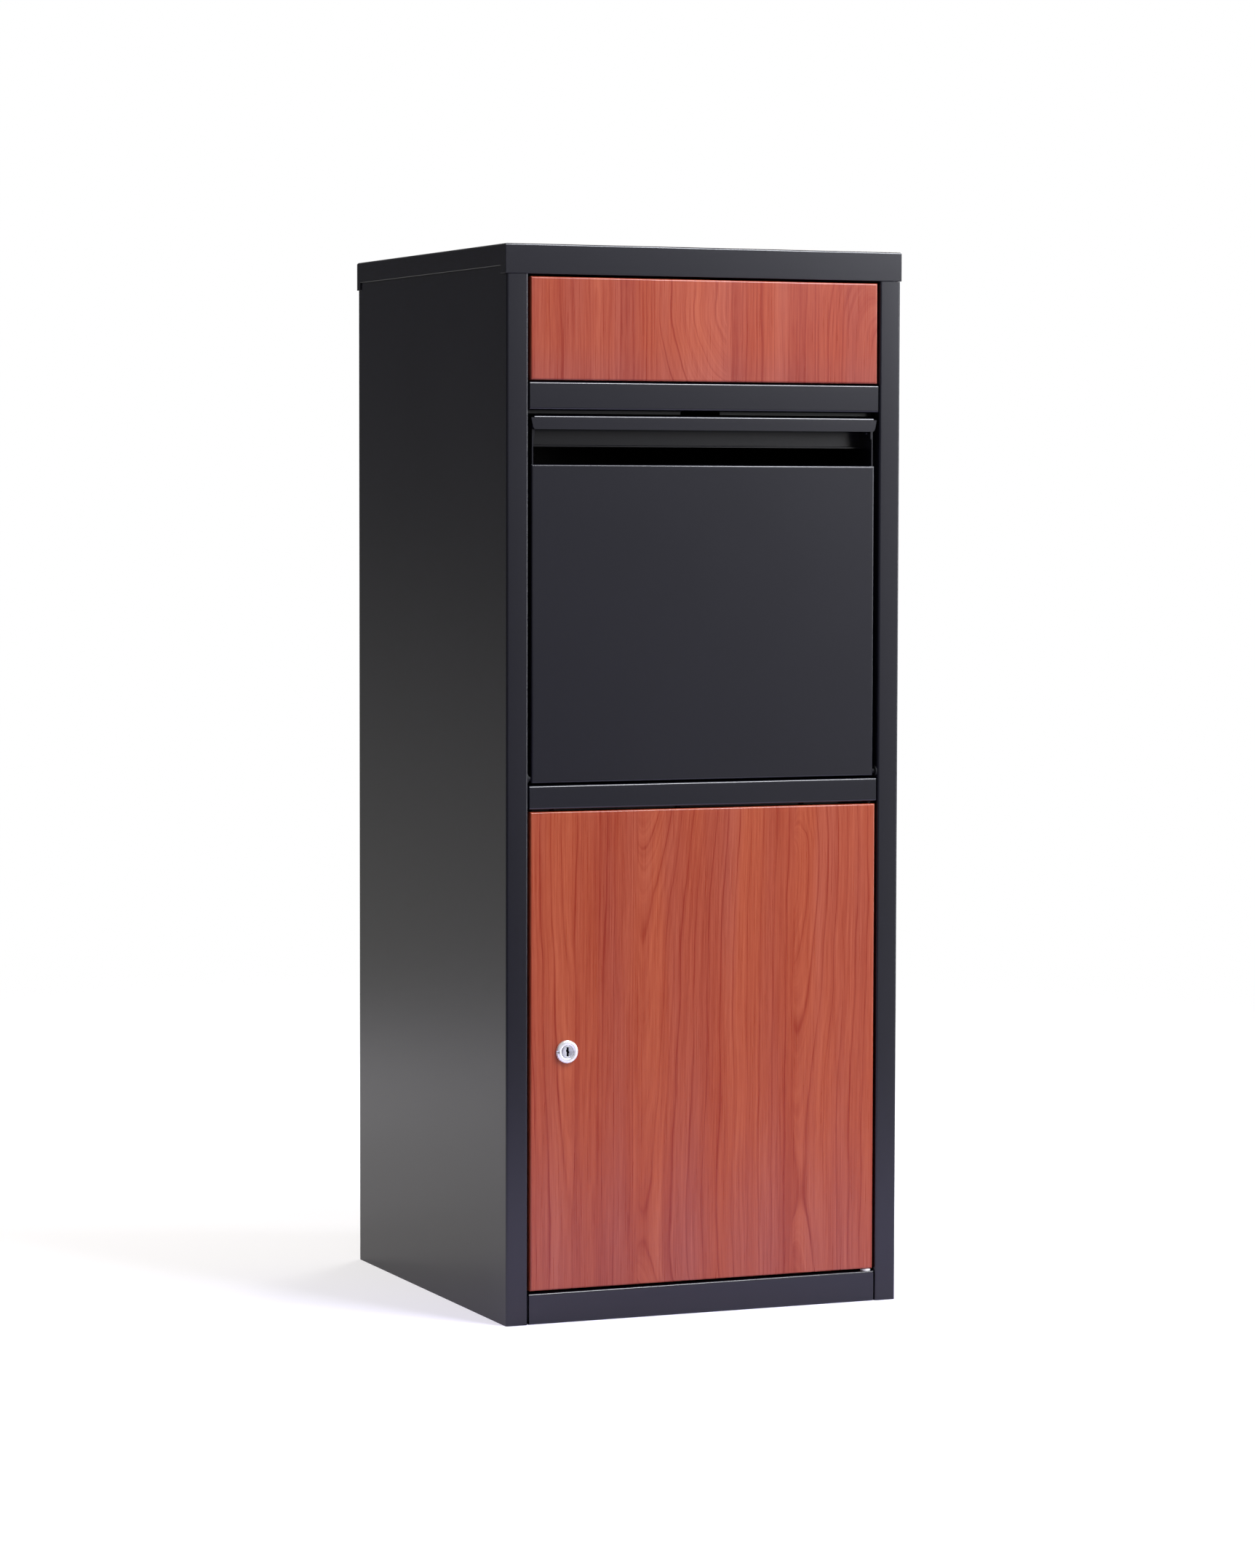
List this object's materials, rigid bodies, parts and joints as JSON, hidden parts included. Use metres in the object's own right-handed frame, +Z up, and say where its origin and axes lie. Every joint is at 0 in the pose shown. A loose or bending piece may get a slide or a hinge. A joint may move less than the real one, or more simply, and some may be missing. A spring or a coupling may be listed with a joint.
{
  "type": "parcel drop box",
  "caption": "Free-standing folded-steel parcel drop box: tilting parcel hopper with letter slot above a locked, pivot-hinged collection door; black with wood-look front panels.",
  "frame": {"origin": "on the floor, at the middle of the bounding box's underside", "axes": "+X to the right seen from the front, +Y towards the back, +Z up"},
  "size_m": [0.41, 0.423, 1.02],
  "materials": {
    "black_paint": "fine satin powder coat",
    "wood_print": "satin cherry-wood print on steel",
    "lock_metal": "bright nickel",
    "lock_face": "satin nickel",
    "zinc": "zinc plated",
    "black_oxide": "blackened steel",
    "nylon": "natural nylon",
    "black_nylon": "black nylon",
    "rubber": "moulded black rubber"
  },
  "bodies": {
    "cabinet": {"left_side_panel": "black_paint", "right_side_panel": "black_paint", "back_panel": "black_paint", "top_cover": "black_paint", "base_pan": "black_paint", "upper_rail": "black_paint", "mid_rail": "black_paint", "top_fascia_panel": "wood_print", "fascia_carrier": "black_paint", "fascia_screws": "zinc", "rear_baffle": "black_paint", "back_panel_rivets": "black_paint", "hopper_pivot_bushes": "black_nylon", "hopper_opening_stops": "rubber", "hopper_rest_brackets": "zinc", "hopper_rest_buffers": "rubber", "door_lower_bush": "nylon", "door_upper_bush": "black_nylon", "door_bumpers": "rubber"},
    "hopper": {"hopper_front_panel": "black_paint", "hopper_left_cheek": "black_paint", "hopper_right_cheek": "black_paint", "chute_plate": "black_paint", "handle_bar": "black_paint", "hopper_pivot_pins": "black_oxide", "hopper_rivets": "black_paint"},
    "door": {"door_panel": "wood_print", "door_stiffener": "black_paint", "door_pivot_blocks": "zinc", "door_pivot_pins": "black_oxide", "lock_housing": "lock_metal", "lock_nut": "zinc"},
    "lock": {"lock_plug": "lock_face", "lock_cam": "zinc", "cam_screw": "zinc"}
  },
  "joints": [
    {"name": "hopper_tilt", "type": "hinge", "parent": "cabinet", "child": "hopper", "pos_m": [0, -0.2025, 0.5185], "axis": [1, 0, 0], "range_deg": [0, 50]},
    {"name": "door_hinge", "type": "hinge", "parent": "cabinet", "child": "door", "pos_m": [0.1745, -0.2025, 0.2595], "axis": [0, 0, 1], "range_deg": [0, 100]},
    {"name": "lock_turn", "type": "hinge", "parent": "door", "child": "lock", "pos_m": [-0.1425, -0.2085, 0.259], "axis": [0, 1, 0], "range_deg": [0, 90]}
  ]
}
